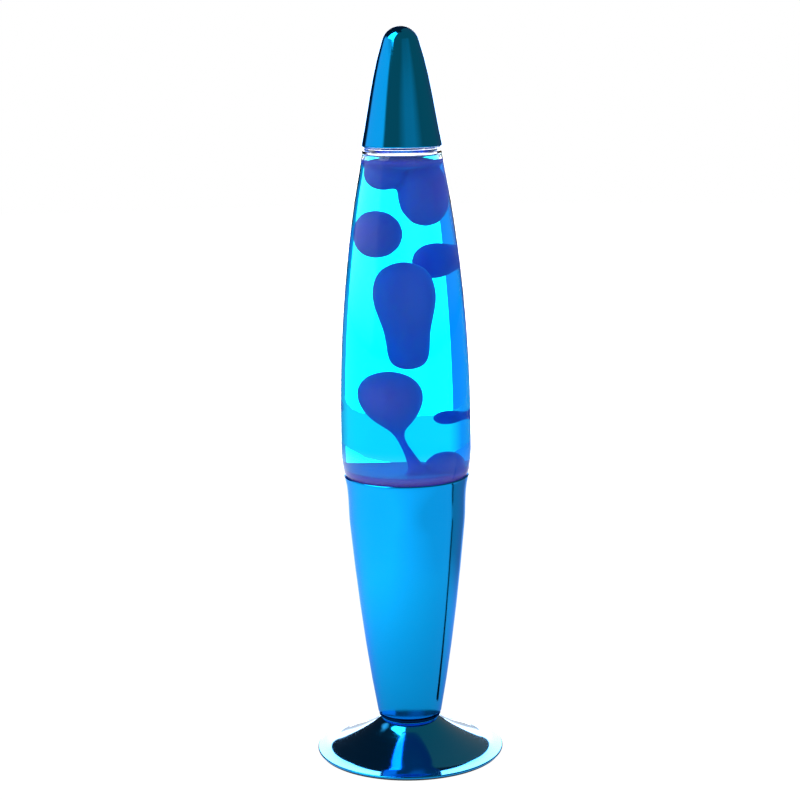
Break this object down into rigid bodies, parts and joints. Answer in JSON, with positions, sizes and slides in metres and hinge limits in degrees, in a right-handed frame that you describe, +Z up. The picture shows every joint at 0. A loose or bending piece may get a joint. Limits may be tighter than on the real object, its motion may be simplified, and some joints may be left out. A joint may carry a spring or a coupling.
{
  "type": "lava lamp",
  "caption": "Rocket-shaped lava lamp: a tapered bottle of liquid and wax on a lit cone base with a trumpet foot, under a lift-off bullet cap.",
  "frame": {"origin": "on the supporting surface, on the lamp's axis", "axes": "+Z up along the lamp's axis, front facing -Y, +X to the right as seen from the front"},
  "size_m": [0.109, 0.109, 0.42],
  "materials": {
    "blue_metal": "mirror-polished aluminium under clear blue lacquer",
    "dark_metal": "dark blue anodised",
    "zinc": "zinc plated",
    "brass": "stamped and turned brass",
    "black_rubber": "matte",
    "phenolic": "moulded heat-resistant plastic",
    "black_glass": "black glass",
    "clear_glass": "clear",
    "tungsten": "coiled wire",
    "liner": "soft sealing disc",
    "crown_steel": "bright tinplate",
    "liquid": "clear cyan liquid",
    "wax": "translucent royal blue wax"
  },
  "bodies": {
    "base": {"foot": "blue_metal", "rubber_ring": "black_rubber", "cord_grommet": "black_rubber", "neck_collar": "blue_metal", "neck_spacer": "dark_metal", "base_cone": "blue_metal", "threaded_tube": "zinc", "lock_washer": "zinc", "cone_washer": "zinc", "clamp_nut": "zinc", "lampholder_cap": "phenolic", "lampholder_insert": "phenolic", "lampholder_sleeve": "phenolic", "terminal_screw_left": "brass", "terminal_screw_right": "brass", "socket_shell": "brass", "centre_contact": "brass"},
    "bulb_tip": {"bulb_contact": "zinc"},
    "bulb": {"bulb_insulator": "black_glass", "bulb_screw_shell": "zinc", "bulb_glass": "clear_glass", "bulb_stem": "clear_glass", "bulb_lead_left": "zinc", "bulb_lead_right": "zinc", "filament": "tungsten"},
    "bottle": {"bottle_glass": "clear_glass", "crown_liner": "liner", "crown_closure": "crown_steel", "liquid": "liquid", "wax_pool": "wax", "wax_floating": "wax", "wax_coil": "zinc"},
    "drop_middle": {"wax_drop_middle": "wax"},
    "drop_left": {"wax_drop_left": "wax"},
    "drop_right": {"wax_drop_right": "wax"},
    "drop_small": {"wax_drop_small": "wax"},
    "cap": {"cap_shell": "blue_metal"}
  },
  "joints": [
    {"name": "bottle_lift", "type": "slide", "parent": "base", "child": "bottle", "axis": [0, 0, 1], "range_m": [0, 0.06]},
    {"name": "cap_lift", "type": "slide", "parent": "bottle", "child": "cap", "axis": [0, 0, 1], "range_m": [0, 0.06]},
    {"name": "bulb_rise", "type": "slide", "parent": "base", "child": "bulb_tip", "axis": [0, 0, 1], "range_m": [0, 0.00846]},
    {"name": "bulb_turn", "type": "hinge", "parent": "bulb_tip", "child": "bulb", "pos_m": [0, 0, 0.06], "axis": [0, 0, 1], "range_deg": [0, 1080]},
    {"name": "drop_middle_drift", "type": "slide", "parent": "bottle", "child": "drop_middle", "axis": [0, 0, 1], "range_m": [-0.001, 0.003], "deforming": ["liquid"]},
    {"name": "drop_left_drift", "type": "slide", "parent": "bottle", "child": "drop_left", "axis": [0, 0, 1], "range_m": [-0.002, 0.001], "deforming": ["liquid"]},
    {"name": "drop_right_drift", "type": "slide", "parent": "bottle", "child": "drop_right", "axis": [0, 0, 1], "range_m": [-0.04, 0.002], "deforming": ["liquid"]},
    {"name": "drop_small_drift", "type": "slide", "parent": "bottle", "child": "drop_small", "axis": [0, 0, 1], "range_m": [-0.006, 0.01], "deforming": ["liquid"]}
  ],
  "couplings": [
    {"joint": "bulb_rise", "follows": "bulb_turn", "m_per_rad": 0.00044882}
  ]
}
